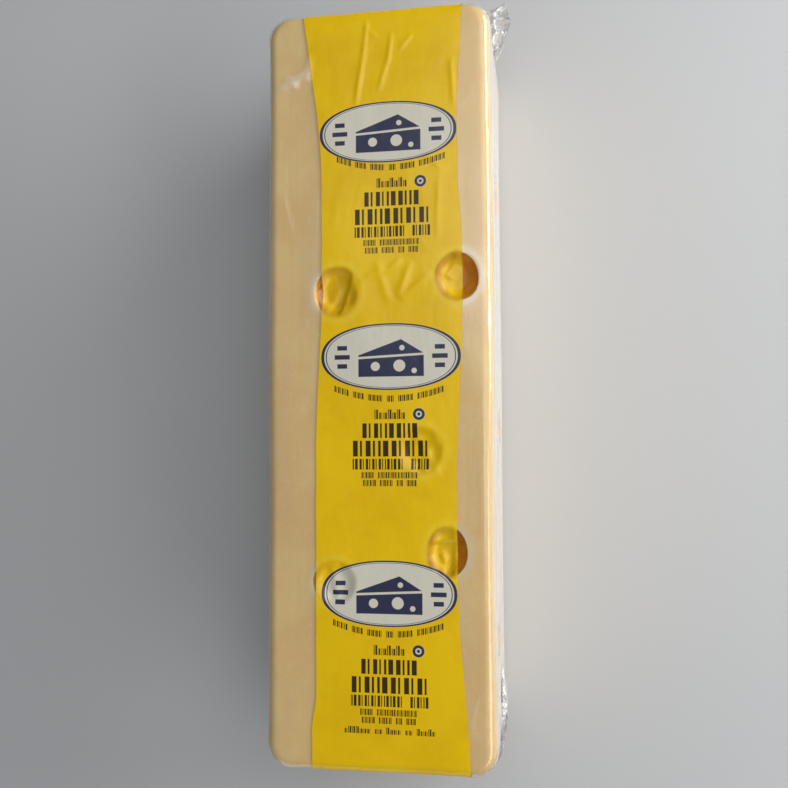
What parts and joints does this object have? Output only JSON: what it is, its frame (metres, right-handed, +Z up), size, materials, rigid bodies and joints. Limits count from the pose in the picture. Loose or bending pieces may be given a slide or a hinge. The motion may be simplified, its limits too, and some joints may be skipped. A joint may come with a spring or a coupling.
{
  "type": "vacuum-packed block of swiss-type cheese",
  "caption": "Long block of pale cheese with round eyes, shrink-wrapped in clear film with a plain printed band, flat end seals and a short tail, lying on its base.",
  "frame": {"origin": "centre of the block's flat base, under the middle of the wrapped block with its end seals left out", "axes": "+X across the width, +Y along the length towards the head end, +Z up from the base to the printed top face"},
  "size_m": [0.117, 0.373, 0.099],
  "materials": {
    "cheese": "satin, slightly moist",
    "film": "tight glossy shrink film, clear with a yellow printed band"
  },
  "bodies": {
    "root": {"cheese_block": "cheese", "shrink_bag": "film"}
  },
  "joints": []
}
